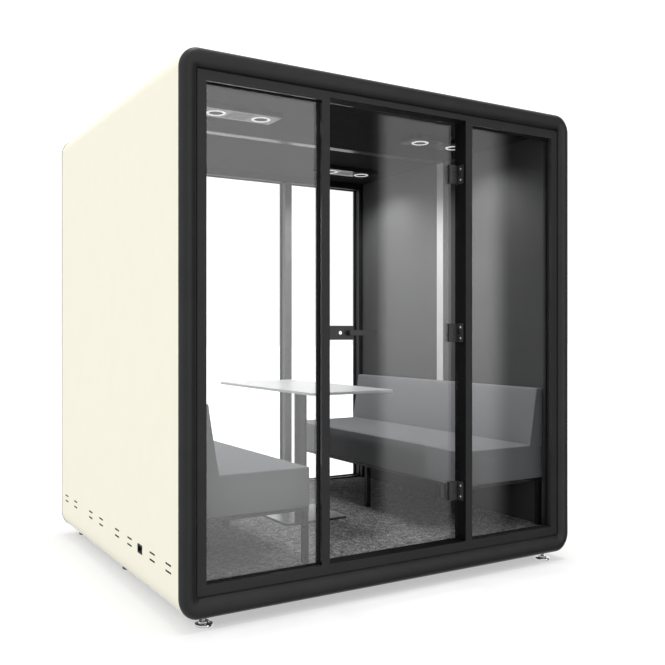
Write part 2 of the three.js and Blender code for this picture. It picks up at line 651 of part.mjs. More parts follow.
function lock() {
  const outline = roundedRectangle([lockLeft, lockLeft + LOCK_LENGTH], about(lockZ, LOCK_HEIGHT), LOCK_ROUND);
  const sleeve = rod('y', [caseY[1] - CUT_PAST, doorY[1]], SLEEVE_RADIUS, [leverX, lockZ]);
  const boreY = grown([caseY[0], backPlateY[1]], CUT_PAST);
  const spindleBore = rod('y', boreY, SPINDLE_RADIUS + RUN_GAP, [leverX, lockZ], PIN_SIDES);
  const strikeX = [SEAT_GAP - doorwayHalf, SEAT_GAP - doorwayHalf + STRIKE_THICKNESS];
  const boltY = about((caseY[0] + caseY[1]) / 2, BOLT_WIDTH);
  const boltZ = about(lockZ, BOLT_HEIGHT);
  const boltX = [strikeX[1] + RUN_GAP, strikeX[1] + RUN_GAP + BOLT_LENGTH];
  const channelX = [boltX[0], boltX[1] + BOLT_TRAVEL + RUN_GAP];
  const channel = block(channelX, grown(boltY, SEAT_GAP), grown(boltZ, SEAT_GAP));
  const keyY = [caseY[0] - KEY_PROUD, caseY[0] - KEY_PROUD + KEY_LENGTH];
  const keyBore = rod('y', [keyY[0], keyY[1] + SEAT_GAP], KEY_RADIUS + RUN_GAP, [keyX, lockZ]);
  add('lock_case', cut(join(wall(outline, caseY), sleeve), spindleBore, channel, keyBore), BLACK);
  add('lock_back_plate', cut(wall(outline, backPlateY), spindleBore), BLACK);
  add('latch_bolt', block(boltX, boltY, boltZ), CHROME);
  const keySlot = block(about(keyX, KEY_SLOT_WIDTH), [keyY[0] - CUT_PAST, keyY[0] + KEY_SLOT_DEPTH],
    about(lockZ, KEY_SLOT_LENGTH));
  add('key_plug', cut(rod('y', keyY, KEY_RADIUS, [keyX, lockZ]), keySlot), CHROME);
  const strikeY = [boltY[1] - STRIKE_WIDTH, boltY[1]];
  add('strike_plate', block(strikeX, strikeY, about(lockZ, STRIKE_HEIGHT)), CHROME);

  const outerHub = [caseY[0] - SEAT_GAP - LEVER_HUB_LENGTH, caseY[0] - SEAT_GAP];
  const innerHub = [backPlateY[1] + SEAT_GAP, backPlateY[1] + SEAT_GAP + LEVER_HUB_LENGTH];
  const bar = roundedRectangle([leverX - LEVER_HEIGHT / 2, leverX - LEVER_HEIGHT / 2 + LEVER_LENGTH],
    about(lockZ, LEVER_HEIGHT), LEVER_ROUND);
  add('door_lever', join(
    rod('y', [outerHub[0], innerHub[1]], SPINDLE_RADIUS, [leverX, lockZ], PIN_SIDES),
    rod('y', outerHub, LEVER_HUB_RADIUS, [leverX, lockZ]),
    rod('y', innerHub, LEVER_HUB_RADIUS, [leverX, lockZ]),
    wall(bar, [outerHub[0] - LEVER_THICKNESS, outerHub[0] + CUT_PAST]),
    wall(bar, [innerHub[1] - CUT_PAST, innerHub[1] + LEVER_THICKNESS]),
  ), BLACK);
}

// Grid places along one side of a cushion: close together at its rounded edges, even between them.
function cushionGrid(length, edge, inner) {
  const places = [0, CUSHION_EDGE_STEP, edge];
  for (let i = 1; i < inner; i += 1) {
    places.push(edge + (length - 2 * edge) * i / inner);
  }
  return [...places, length - edge, length - CUSHION_EDGE_STEP, length];
}

// An upholstered block with rounded edges. The shaping function gets a place, each way from -1 to 1,
// and moves the point there.
function cushion(size, inner, shaping) {
  const grids = size.map((length, axis) => cushionGrid(length, CUSHION_EDGE, inner[axis]));
  const counts = grids.map((grid) => grid.length - 1);
  const box = bare(new THREE.BoxGeometry(1, 1, 1, ...counts));
  const place = box.attributes.position;
  for (let i = 0; i < place.count; i += 1) {
    const raw = [place.getX(i), place.getY(i), place.getZ(i)];
    const point = raw.map((value, axis) => grids[axis][Math.round((value + 0.5) * counts[axis])]);
    const inset = (value, axis) => THREE.MathUtils.clamp(value, CUSHION_EDGE, size[axis] - CUSHION_EDGE);
    const core = point.map(inset);
    const away = new THREE.Vector3(...point.map((value, axis) => value - core[axis]));
    away.setLength(CUSHION_EDGE);
    const rounded = core.map((value, axis) => value + away.getComponent(axis));
    const unit = rounded.map((value, axis) => 2 * value / size[axis] - 1);
    place.setXYZ(i, ...shaping(rounded, unit));
  }
  return box;
}

function bulge(a, b) {
  return (1 - a * a) * (1 - b * b);
}

// Each bench is drawn on the right, its back against the wall, and mirrored for the left,
// where the back cushion is thicker.
function bench(hand, side, thicker) {
  const backX = wallInnerX - STRIP_THICKNESS - 2 * SEAT_GAP;
  const frontX = backX - BENCH_DEPTH;
  const y0 = -benchLength / 2;
  const seatBottom = SEAT_TOP - SEAT_THICKNESS;
  const seatSize = [BENCH_DEPTH, benchLength, SEAT_THICKNESS - SEAT_CROWN];
  const seat = cushion(seatSize, SEAT_GRID, ([x, y, z], [u, v, w]) => [
    frontX + x + SIDE_PULL * bulge(v, w) * Math.max(0, -u),
    y0 + y - SIDE_PULL * bulge(u, w) * v,
    seatBottom + z + SEAT_CROWN * bulge(u, v) * Math.max(0, w),
  ]);
  const backBottom = SEAT_TOP + SEAT_GAP;
  const backFoot = BACK_FOOT + thicker;
  const backHead = BACK_HEAD + thicker;
  const backSize = [backFoot, benchLength, BACK_HEIGHT];
  const back = cushion(backSize, BACK_GRID, ([x, y, z], [u, v, w]) => {
    const thickness = THREE.MathUtils.lerp(backFoot, backHead, z / BACK_HEIGHT);
    const depth = (backFoot - x) / backFoot * thickness;
    return [
      backX - depth - BACK_CROWN * bulge(v, w) * Math.max(0, -u),
      y0 + y - SIDE_PULL * bulge(u, w) * v,
      backBottom + z,
    ];
  });
  const boardTop = seatBottom - SEAT_GAP;
  const boardX = [frontX + BENCH_BOARD_INSET, backX];
  const boardY = about(0, benchLength - 2 * BENCH_BOARD_INSET);
  const board = block(boardX, boardY, [boardTop - BENCH_BOARD, boardTop]);
  const legZ = [CARPET_TOP + SEAT_GAP, boardTop - BENCH_BOARD / 2];
  const legs = [];
  for (const x of [boardX[0] + BENCH_LEG_INSET, boardX[1] - BENCH_LEG_INSET - BENCH_LEG]) {
    for (const y of [boardY[0] + BENCH_LEG_INSET, -BENCH_LEG / 2, boardY[1] - BENCH_LEG_INSET - BENCH_LEG]) {
      legs.push(block([x, x + BENCH_LEG], [y, y + BENCH_LEG], legZ));
    }
  }
  const mirrored = (geometry) => outward(bare(geometry).scale(side, 1, 1));
  add(`bench_seat_${hand}`, mirrored(seat), FABRIC);
  add(`bench_back_${hand}`, mirrored(back), FABRIC);
  add(`bench_frame_${hand}`, mirrored(join(board, ...legs)), STEEL_GREY);
}

function table() {
  const top = roundedRectangle(about(0, TABLE_WIDTH), about(0, TABLE_LENGTH), TABLE_CORNER);
  const underside = TABLE_TOP - TABLE_THICKNESS;
  add('table_top', slab(top, [underside, TABLE_TOP]), WHITE);
  const foot = roundedRectangle(about(0, TABLE_BASE_SIZE), about(0, TABLE_BASE_SIZE), TABLE_BASE_CORNER);
  const baseZ = [CARPET_TOP + SEAT_GAP, CARPET_TOP + SEAT_GAP + TABLE_BASE_THICKNESS];
  add('table_base', slab(foot, baseZ), STEEL_GREY);
  const flangeTop = underside - SEAT_GAP;
  const column = rod('z', [baseZ[1] + SEAT_GAP, flangeTop], COLUMN_RADIUS, [0, 0]);
  const flange = block(about(0, COLUMN_FLANGE_WIDTH), about(0, COLUMN_FLANGE_LENGTH),
    [flangeTop - COLUMN_FLANGE_THICKNESS, flangeTop]);
  add('table_column', join(column, flange), STEEL_GREY);
}

function lightRing(x, y, z) {
  const profile = [
    [LIGHT_INNER, UNIT_WALL],
    [LIGHT_INNER, -LIGHT_PROUD],
    [LIGHT_OUTER - LIGHT_PROUD, -LIGHT_PROUD],
    [LIGHT_OUTER, 0],
    [LIGHT_OUTER, UNIT_WALL],
    [LIGHT_INNER, UNIT_WALL],
  ].map(([radius, height]) => new THREE.Vector2(radius, height));
  const lathe = new THREE.LatheGeometry(profile, ROUND_SIDES).rotateX(Math.PI / 2);
  return outward(bare(lathe)).translate(x, y, z);
}

function ceilingUnit(name, x, y) {
  const bottom = ceilingZ - SEAT_GAP - UNIT_HEIGHT;
  const outerX = about(x, UNIT_LENGTH);
  const outerY = about(y, UNIT_WIDTH);
  const box = block(outerX, outerY, [bottom, bottom + UNIT_HEIGHT]);
  const hollow = block(grown(outerX, -UNIT_WALL), grown(outerY, -UNIT_WALL), [bottom + UNIT_WALL, ceilingZ]);
  const lights = about(x, LIGHT_SPACING);
  const plateZ = grown([bottom, bottom + UNIT_WALL], CUT_PAST);
  const lightHoles = lights.map((lightX) => rod('z', plateZ, LIGHT_INNER, [lightX, y]));
  const slots = [];
  for (let i = 0; i < GRILLE_SLOTS; i += 1) {
    const slotX = x + (i - (GRILLE_SLOTS - 1) / 2) * GRILLE_PITCH;
    slots.push(block(about(slotX, GRILLE_SLOT_WIDTH), about(y, GRILLE_SLOT_LENGTH), plateZ));
  }
  const rings = lights.map((lightX) => lightRing(lightX, y, bottom));
  const pin = rod('z', [bottom, bottom + UNIT_HEIGHT - UNIT_WALL], FAN_PIN_RADIUS, [x, y], PIN_SIDES);
  const housing = cut(box, hollow, ...slots, ...lightHoles);
  add(name, join(housing, ...rings, pin), LAMP_WHITE);
}

function fan(name, x, y) {
  const bottom = ceilingZ - SEAT_GAP - UNIT_HEIGHT + UNIT_WALL + RUN_GAP;
  const level = [bottom, bottom + FAN_HEIGHT];
  const middle = (level[0] + level[1]) / 2;
  const blades = [];
  for (let i = 0; i < FAN_BLADES; i += 1) {
    const bladeLength = FAN_RADIUS - FAN_HUB_RADIUS + CUT_PAST;
    const blade = new THREE.BoxGeometry(bladeLength, FAN_HEIGHT, FAN_BLADE_THICKNESS);
    blade.rotateX(FAN_BLADE_TILT).translate((FAN_RADIUS + FAN_HUB_RADIUS - CUT_PAST) / 2, 0, middle);
    blades.push(blade.rotateZ(i / FAN_BLADES * 2 * Math.PI).translate(x, y, 0));
  }
  const hub = rod('z', level, FAN_HUB_RADIUS, [x, y]);
  const bore = rod('z', grown(level, CUT_PAST), FAN_PIN_RADIUS + RUN_GAP, [x, y], PIN_SIDES);
  add(name, cut(join(hub, ...blades), bore), PLASTIC);
}

function ceiling() {
  for (const [row, y] of [['front', -unitY], ['rear', unitY]]) {
    for (const [hand, x] of [['left', -unitX], ['right', unitX]]) {
      ceilingUnit(`ceiling_unit_${row}_${hand}`, x, y);
    }
  }
  fan('supply_fan', -unitX, -unitY);
  fan('exhaust_fan', unitX, unitY);
}

outerFrames();
glazing();
shell();
linings();
feet();
hinges();
door();
lock();
bench('left', -1, LEFT_BACK_THICKER);
bench('right', 1, 0);
table();
ceiling();

export default pod;
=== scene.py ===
import math

import bmesh
import bpy
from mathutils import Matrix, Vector


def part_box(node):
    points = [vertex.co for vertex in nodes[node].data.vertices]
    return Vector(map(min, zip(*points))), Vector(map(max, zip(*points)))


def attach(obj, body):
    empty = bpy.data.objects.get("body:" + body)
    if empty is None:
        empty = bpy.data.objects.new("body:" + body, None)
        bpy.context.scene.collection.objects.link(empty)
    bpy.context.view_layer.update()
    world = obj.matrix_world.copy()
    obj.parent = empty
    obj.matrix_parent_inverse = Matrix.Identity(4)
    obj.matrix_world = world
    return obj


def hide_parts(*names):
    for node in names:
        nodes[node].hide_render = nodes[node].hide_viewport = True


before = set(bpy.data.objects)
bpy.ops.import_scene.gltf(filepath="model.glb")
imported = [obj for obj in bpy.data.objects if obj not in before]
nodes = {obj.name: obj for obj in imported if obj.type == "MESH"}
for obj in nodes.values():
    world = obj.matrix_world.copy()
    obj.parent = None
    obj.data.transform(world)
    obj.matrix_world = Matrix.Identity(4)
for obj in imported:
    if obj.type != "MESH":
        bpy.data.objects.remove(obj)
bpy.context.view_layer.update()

# Sizes shared with the solids, in metres
FRAME_HALF = 1.066
FRAME_BOTTOM = 0.045
FRAME_TOP = 2.299
FRAME_CORNER = 0.082
FRAME_BAND = 0.076
FRAME_HEAD_BAND = 0.084
FRAME_SILL_BAND = 0.090
FRAME_FACE_Y = 0.945
FRAME_CROWN = 0.018
FRAME_FLANGE_Y = 0.865
FRAME_SEAM_Y = 0.937
FRAME_FLANGE_INSET = 0.0223
FRAME_ROUND_WIDTH = 0.032
FRAME_ROUND_DEPTH = 0.026
GROOVE_WIDTH = 0.004
GROOVE_DEPTH = 0.006
FRONT_PANES = ("front_glass_left", "front_glass_right")
REAR_PANES = ("rear_glass_left", "rear_glass_centre", "rear_glass_right")
FIXED_PANES = FRONT_PANES + REAR_PANES
HINGE_LEVELS = ("bottom", "middle", "top")
LIGHT_OFFSET = 0.115
BEVEL_LIMIT = math.radians(33)


# Materials

def new_material(name):
    mat = bpy.data.materials.new(name)
    mat.use_nodes = True
    return mat, mat.node_tree, mat.node_tree.nodes["Principled BSDF"]


def place(tree):
    return tree.nodes.new("ShaderNodeTexCoord").outputs["Object"]


def noise(tree, scale, detail=3.0, roughness=0.5, distortion=0.0):
    made = tree.nodes.new("ShaderNodeTexNoise")
    made.inputs["Scale"].default_value = scale
    made.inputs["Detail"].default_value = detail
    made.inputs["Roughness"].default_value = roughness
    made.inputs["Distortion"].default_value = distortion
    tree.links.new(place(tree), made.inputs["Vector"])
    return made.outputs["Fac"]


def ramp(tree, factor, stops):
    made = tree.nodes.new("ShaderNodeValToRGB")
    elements = made.color_ramp.elements
    while len(elements) < len(stops):
        elements.new(0.5)
    for element, (position, colour) in zip(elements, stops):
        element.position = position
        element.color = (*colour, 1.0) if len(colour) == 3 else colour
    tree.links.new(factor, made.inputs["Fac"])
    return made.outputs["Color"]


def grey(value):
    return (value, value, value)


def bump(tree, height, strength, distance, normal=None):
    made = tree.nodes.new("ShaderNodeBump")
    made.inputs["Strength"].default_value = strength
    made.inputs["Distance"].default_value = distance
    tree.links.new(height, made.inputs["Height"])
    if normal is not None:
        tree.links.new(normal, made.inputs["Normal"])
    return made.outputs["Normal"]


def maths(tree, operation, first, second):
    made = tree.nodes.new("ShaderNodeMath")
    made.operation = operation
    for socket, value in zip(made.inputs, (first, second)):
        if isinstance(value, (int, float)):
            socket.default_value = value
        else:
            tree.links.new(value, socket)
    return made.outputs["Value"]


def painted(name, dark, light, roughness, grain, strength, specular):
    mat, tree, shader = new_material(name)
    shader.inputs["Specular IOR Level"].default_value = specular
    cloudy = noise(tree, 9.0, 4.0)
    tree.links.new(ramp(tree, cloudy, [(0.35, dark), (0.65, light)]), shader.inputs["Base Color"])
    fine = noise(tree, grain, 2.0, 0.6)
    low, high = roughness
    tree.links.new(ramp(tree, fine, [(0.3, grey(low)), (0.7, grey(high))]), shader.inputs["Roughness"])
    tree.links.new(bump(tree, fine, strength, 0.0004), shader.inputs["Normal"])
    return mat


def felted(name, dark, light, fibre=520.0, strength=0.5, sheen=0.25):
    mat, tree, shader = new_material(name)
    shader.inputs["Roughness"].default_value = 0.95
    shader.inputs["Specular IOR Level"].default_value = 0.1
    shader.inputs["Sheen Weight"].default_value = sheen
    shader.inputs["Sheen Roughness"].default_value = 0.5
    fibres = noise(tree, fibre, 5.0, 0.7, 1.2)
    patches = noise(tree, 14.0, 5.0, 0.6)
    mixed = maths(tree, "ADD", maths(tree, "MULTIPLY", fibres, 0.65), maths(tree, "MULTIPLY", patches, 0.35))
    tree.links.new(ramp(tree, mixed, [(0.36, dark), (0.64, light)]), shader.inputs["Base Color"])
    tree.links.new(bump(tree, fibres, strength, 0.0008), shader.inputs["Normal"])
    return mat


def woven(name, dark, light):
    mat, tree, shader = new_material(name)
    shader.inputs["Roughness"].default_value = 0.9
    shader.inputs["Specular IOR Level"].default_value = 0.2
    shader.inputs["Sheen Weight"].default_value = 0.1
    shader.inputs["Sheen Roughness"].default_value = 0.45
    coords = place(tree)
    threads = []
    for axis in ("X", "Y", "Z"):
        wave = tree.nodes.new("ShaderNodeTexWave")
        wave.bands_direction = axis
        wave.inputs["Scale"].default_value = 260.0
        wave.inputs["Distortion"].default_value = 1.4
        wave.inputs["Detail"].default_value = 1.0
        wave.inputs["Detail Scale"].default_value = 3.0
        tree.links.new(coords, wave.inputs["Vector"])
        threads.append(wave.outputs["Fac"])
    weave = maths(tree, "MAXIMUM", maths(tree, "MAXIMUM", threads[0], threads[1]), threads[2])
    slub = noise(tree, 420.0, 3.0, 0.6, 0.4)
    soft = noise(tree, 7.0, 4.0)
    mixed = maths(tree, "ADD", maths(tree, "MULTIPLY", slub, 0.6), maths(tree, "MULTIPLY", soft, 0.4))
    tree.links.new(ramp(tree, mixed, [(0.35, dark), (0.65, light)]), shader.inputs["Base Color"])
    woolly = bump(tree, slub, 0.006, 0.0002)
    tree.links.new(bump(tree, weave, 0.01, 0.0002, woolly), shader.inputs["Normal"])
    return mat


def piled(name):
    mat, tree, shader = new_material(name)
    shader.inputs["Roughness"].default_value = 1.0
    shader.inputs["Specular IOR Level"].default_value = 0.1
    shader.inputs["Sheen Weight"].default_value = 0.2
    loops = noise(tree, 150.0, 3.0, 0.6, 0.8)
    mottle = noise(tree, 46.0, 4.0, 0.62, 1.6)
    mixed = maths(tree, "ADD", maths(tree, "MULTIPLY", loops, 0.35), maths(tree, "MULTIPLY", mottle, 0.65))
    stops = [(0.41, grey(0.034)), (0.50, (0.175, 0.175, 0.173)), (0.59, (0.51, 0.51, 0.505))]
    tree.links.new(ramp(tree, mixed, stops), shader.inputs["Base Color"])
    tree.links.new(bump(tree, mixed, 0.9, 0.004), shader.inputs["Normal"])
    return mat


def glazed(name, tint):
    mat = bpy.data.materials.new(name)
    mat.use_nodes = True
    tree = mat.node_tree
    tree.nodes.remove(tree.nodes["Principled BSDF"])
    clear = tree.nodes.new("ShaderNodeBsdfTransparent")
    clear.inputs["Color"].default_value = (*tint, 1.0)
    gloss = tree.nodes.new("ShaderNodeBsdfGlossy")
    gloss.inputs["Roughness"].default_value = 0.0
    facing = tree.nodes.new("ShaderNodeLayerWeight")
    facing.inputs["Blend"].default_value = 0.5
    grazing = maths(tree, "POWER", facing.outputs["Facing"], 5.0)
    mirrored = maths(tree, "ADD", maths(tree, "MULTIPLY", grazing, 0.96), 0.04)
    mix = tree.nodes.new("ShaderNodeMixShader")
    tree.links.new(mirrored, mix.inputs["Fac"])
    tree.links.new(clear.outputs["BSDF"], mix.inputs[1])
    tree.links.new(gloss.outputs["BSDF"], mix.inputs[2])
    tree.links.new(mix.outputs["Shader"], tree.nodes["Material Output"].inputs["Surface"])
    return mat


def metal(name, colour, roughness, grain=420.0, strength=0.05):
    mat, tree, shader = new_material(name)
    shader.inputs["Metallic"].default_value = 1.0
    low, high = roughness
    fine = noise(tree, grain, 2.0, 0.6)
    shade = tuple(value * 0.94 for value in colour)
    tree.links.new(ramp(tree, fine, [(0.3, shade), (0.7, colour)]), shader.inputs["Base Color"])
    tree.links.new(ramp(tree, fine, [(0.3, grey(low)), (0.7, grey(high))]), shader.inputs["Roughness"])
    tree.links.new(bump(tree, fine, strength, 0.0002), shader.inputs["Normal"])
    return mat


def glowing(name, colour, strength):
    mat, tree, shader = new_material(name)
    fine = noise(tree, 300.0, 2.0)
    stops = [(0.3, (0.86, 0.86, 0.85)), (0.7, (0.92, 0.92, 0.91))]
    tree.links.new(ramp(tree, fine, stops), shader.inputs["Base Color"])
    shader.inputs["Roughness"].default_value = 0.4
    shader.inputs["Emission Color"].default_value = (*colour, 1.0)
    shader.inputs["Emission Strength"].default_value = strength
    return mat


COAT_DARK = (0.0195, 0.0195, 0.0215)
COAT_LIGHT = (0.0235, 0.0235, 0.0255)
CHARCOAL = painted("charcoal_powder_coat", COAT_DARK, COAT_LIGHT, (0.34, 0.44), 900.0, 0.10, 0.3)
CHARCOAL_FLAT = painted("charcoal_satin_profile", COAT_DARK, COAT_LIGHT, (0.36, 0.46), 900.0, 0.08, 0.3)
POLISHED = metal("polished_profile", grey(0.30), (0.18, 0.24))
# Near-black painted shade for the doorway rebates, the door head's underside and the vent slots
SHADE_BLACK = painted("painted_shade_black", grey(0.003), grey(0.005), (0.60, 0.70), 900.0, 0.04, 0.1)
GREY_PROFILE = painted("grey_satin_profile", grey(0.125), grey(0.145), (0.36, 0.46), 900.0, 0.08, 0.4)
CREAM = painted("cream_lacquer", (0.882, 0.852, 0.712), (0.892, 0.862, 0.720), (0.42, 0.50), 700.0, 0.04, 0.3)
GLASS = glazed("clear_glass", (0.985, 0.99, 0.988))
FELT_WALL = felted("wall_felt", grey(0.078), grey(0.085), strength=0.003, sheen=0.05)
FELT_CEILING = felted("ceiling_felt", grey(0.030), grey(0.042), strength=0.012, sheen=0.0)
CARPET = piled("loop_carpet")
WOOL = felted("acoustic_wool", grey(0.015), grey(0.03), 300.0, 0.8, 0.1)
TIMBER = painted("platform_board", (0.36, 0.27, 0.17), (0.44, 0.34, 0.22), (0.6, 0.75), 160.0, 0.3, 0.3)
PALE = painted("pale_strip", (0.64, 0.64, 0.63), (0.67, 0.67, 0.66), (0.45, 0.55), 500.0, 0.05, 0.3)
CHROME = metal("polished_chrome", (0.66, 0.67, 0.68), (0.06, 0.12))
STEEL = metal("brushed_steel", (0.74, 0.75, 0.76), (0.18, 0.28))
NICKEL = metal("satin_nickel", (0.95, 0.95, 0.94), (0.20, 0.26))
# A near-white paint on the hinge screws, as a painted glint on their heads
SCREW_PAINTED_GLINT = painted("screw_painted_glint", grey(0.86), grey(0.90), (0.25, 0.35), 900.0, 0.02, 0.6)
# Dark steel for the middle and rear feet, as painted shade under the pod
FOOT_STEEL_PAINTED_SHADE = metal("steel_painted_shade", (0.10, 0.10, 0.11), (0.16, 0.24))
BLACK = painted("black_satin_metal", grey(0.022), grey(0.028), (0.30, 0.40), 1100.0, 0.08, 0.5)
HINGE = painted("grey_black_hinge", grey(0.034), grey(0.040), (0.30, 0.40), 1100.0, 0.06, 0.5)
GREY_STEEL = painted("grey_painted_steel", grey(0.055), grey(0.065), (0.28, 0.36), 800.0, 0.06, 0.5)
BASE_PLATE = metal("satin_base_plate", (0.20, 0.20, 0.205), (0.20, 0.28))
BENCH_STEEL = painted("dark_bench_steel", grey(0.011), grey(0.015), (0.34, 0.44), 800.0, 0.06, 0.3)
FABRIC = woven("bench_fabric", (0.210, 0.210, 0.219), (0.220, 0.220, 0.230))
LAMINATE = painted("white_laminate", grey(0.58), grey(0.60), (0.28, 0.36), 600.0, 0.02, 0.4)
# A brighter white for the table's edge than for its top, as painted light on the edge
TABLE_EDGE_PAINTED_LIGHT = painted("edge_band_painted_light", grey(0.92), grey(0.94), (0.36, 0.44), 600.0, 0.02, 0.4)
HOUSING = painted("lamp_housing", grey(0.035), grey(0.045), (0.14, 0.20), 800.0, 0.02, 0.5)
STRIP_DARK = (0.11, 0.108, 0.10)
STRIP_LIGHT = (0.13, 0.127, 0.118)
CEILING_STRIP = painted("anodised_strip", STRIP_DARK, STRIP_LIGHT, (0.20, 0.26), 500.0, 0.03, 0.5)
RING = glowing("ring_light", (1.0, 0.99, 0.97), 0.62)
DARK = painted("dark_recess", grey(0.012), grey(0.016), (0.5, 0.6), 700.0, 0.1, 0.2)
RUBBER = painted("black_gasket", grey(0.010), grey(0.014), (0.55, 0.7), 900.0, 0.15, 0.25)
PLASTIC = painted("black_plastic", grey(0.010), grey(0.014), (0.45, 0.55), 1000.0, 0.12, 0.35)


# Finishes of the solids that show

def bevelled(obj, width, segments=2):
    bevel = obj.modifiers.new("edge", "BEVEL")
    bevel.width = width
    bevel.segments = segments
    bevel.limit_method = "ANGLE"
    bevel.angle_limit = BEVEL_LIMIT
    bevel.harden_normals = True


def dress(name, mat, edge=0.0, segments=2, slotted=False):
    obj = nodes[name]
    mesh = obj.data
    if "custom_normal" in mesh.attributes:
        mesh.attributes.remove(mesh.attributes["custom_normal"])
    mesh.materials.clear()
    mesh.materials.append(mat)
    mesh.polygons.foreach_set("material_index", [0] * len(mesh.polygons))
    smooth = edge > 0 or slotted
    mesh.polygons.foreach_set("use_smooth", [smooth] * len(mesh.polygons))
    mesh.update()
    if smooth:
        weld = obj.modifiers.new("weld", "WELD")
        weld.merge_threshold = 0.00001
    # A bevel would fold the thin triangles beside slots, so a slotted piece keeps its sharp edges
    if slotted:
        split = obj.modifiers.new("edge", "EDGE_SPLIT")
        split.split_angle = BEVEL_LIMIT
    elif edge > 0:
        bevelled(obj, edge, segments)


def repaint(name, mat, chosen):
    mesh = nodes[name].data
    mesh.materials.append(mat)
    for face in mesh.polygons:
        if chosen(face.center, face.normal):
            face.material_index = len(mesh.materials) - 1


for side in ("front", "rear"):
    dress(f"{side}_glazing_frame", CHARCOAL_FLAT, 0.0012)
dress("door_head", CHARCOAL_FLAT)
# The rear mullions are a lighter grey than the frame round them
repaint("rear_glazing_frame", GREY_PROFILE, lambda spot, way: 0.35 < abs(spot.x) < 0.43)


# The rebates round the door and the door head's underside are near-black as painted shade, the inner sides of
# the fixed lights are polished
def doorway_shade_faces(spot, way):
    sill = way.z > 0.5 and spot.z < 0.3 and abs(spot.x) < 0.385
    return sill or (way.x < -0.5 and 0.37 < spot.x < 0.405)


def beside_pane(spot, way):
    side = way.x < -0.5 and -0.43 < spot.x < -0.41
    return side or (way.z < -0.5 and spot.z > 2.1 and abs(spot.x) > 0.42)


repaint("front_glazing_frame", SHADE_BLACK, doorway_shade_faces)
repaint("front_glazing_frame", POLISHED, beside_pane)
repaint("door_head", SHADE_BLACK, lambda spot, way: way.z < -0.5)
for name in (*FIXED_PANES, "door_glass"):
    dress(name, GLASS)
dress("left_side_panel", CREAM, slotted=True)
for name in ("right_side_panel", "roof_panel"):
    dress(name, CREAM, 0.0008)
dress("base_tray", CHARCOAL_FLAT, 0.0008)
dress("power_inlet", DARK, 0.0006)
dress("floor_platform", TIMBER)
dress("carpet", CARPET)
dress("ceiling_lining", FELT_CEILING)
for side in ("left", "right"):
    dress(f"{side}_wall_lining", FELT_WALL)
    dress(f"{side}_wall_core", WOOL)
    dress(f"{side}_joint_strip", PALE, 0.0006)
    dress(f"bench_frame_{side}", BENCH_STEEL, 0.0012)
dress("roof_core", WOOL)
dress("ceiling_joint_strip", CEILING_STRIP, 0.0006)
for level in HINGE_LEVELS:
    dress(f"hinge_leaf_{level}", HINGE, 0.0008)
    dress(f"hinge_clamp_{level}", HINGE, 0.0012)
for name in ("lock_case", "lock_back_plate", "door_lever"):
    dress(name, BLACK, 0.0015)
dress("latch_bolt", CHROME, 0.0008)
dress("key_plug", NICKEL, 0.0005)
dress("strike_plate", STEEL, 0.0004)
dress("table_top", LAMINATE, 0.002, 3)
# The edge faces get the brighter white as painted light
repaint("table_top", TABLE_EDGE_PAINTED_LIGHT, lambda spot, way: abs(way.z) < 0.5)
dress("table_column", GREY_STEEL, 0.001)
dress("table_base", BASE_PLATE, 0.002, 3)
for name in ("supply_fan", "exhaust_fan"):
    dress(name, PLASTIC, 0.0004)


# Meshes

def make(name, vertices, faces, mat, body="pod", slot=None, sharp=35.0):
    mesh = bpy.data.meshes.new(name)
    mesh.from_pydata(vertices, [], faces)
    mesh.validate()
    tidy = bmesh.new()
    tidy.from_mesh(mesh)
    bmesh.ops.remove_doubles(tidy, verts=tidy.verts, dist=0.000001)
    bmesh.ops.recalc_face_normals(tidy, faces=tidy.faces)
    tidy.to_mesh(mesh)
    tidy.free()
    mesh.polygons.foreach_set("use_smooth", [True] * len(mesh.polygons))
    mesh.set_sharp_from_angle(angle=math.radians(sharp))
    mesh.materials.append(mat)
    obj = bpy.data.objects.new(name, mesh)
    bpy.context.scene.collection.objects.link(obj)
    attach(obj, body)
    return obj


def frame_path(steps):
    radius = FRAME_CORNER
    head = FRAME_HEAD_BAND / FRAME_BAND
    sill = FRAME_SILL_BAND / FRAME_BAND
    side = FRAME_HALF - radius
    corners = [
        (side, FRAME_TOP - radius * head, head),
        (-side, FRAME_TOP - radius * head, head),
        (-side, FRAME_BOTTOM + radius * sill, sill),
        (side, FRAME_BOTTOM + radius * sill, sill),
    ]
    path = []
    for quarter, (x, z, taller) in enumerate(corners):
        for step in range(steps + 1):
            angle = (quarter + step / steps) * math.pi / 2
            path.append((x, z, math.cos(angle), taller * math.sin(angle)))
    return path


def swept(path, radius, section):
    vertices = []
    for x, z, along_x, along_z in path:
        for inset, y in section:
            vertices.append((x + (radius - inset) * along_x, y, z + (radius - inset) * along_z))
    across = len(section)
    around = len(path)
    faces = []
    for i in range(around):
        for j in range(across):
            k = (i + 1) % around
            m = (j + 1) % across
            faces.append((i * across + j, k * across + j, k * across + m, i * across + m))
    return vertices, faces


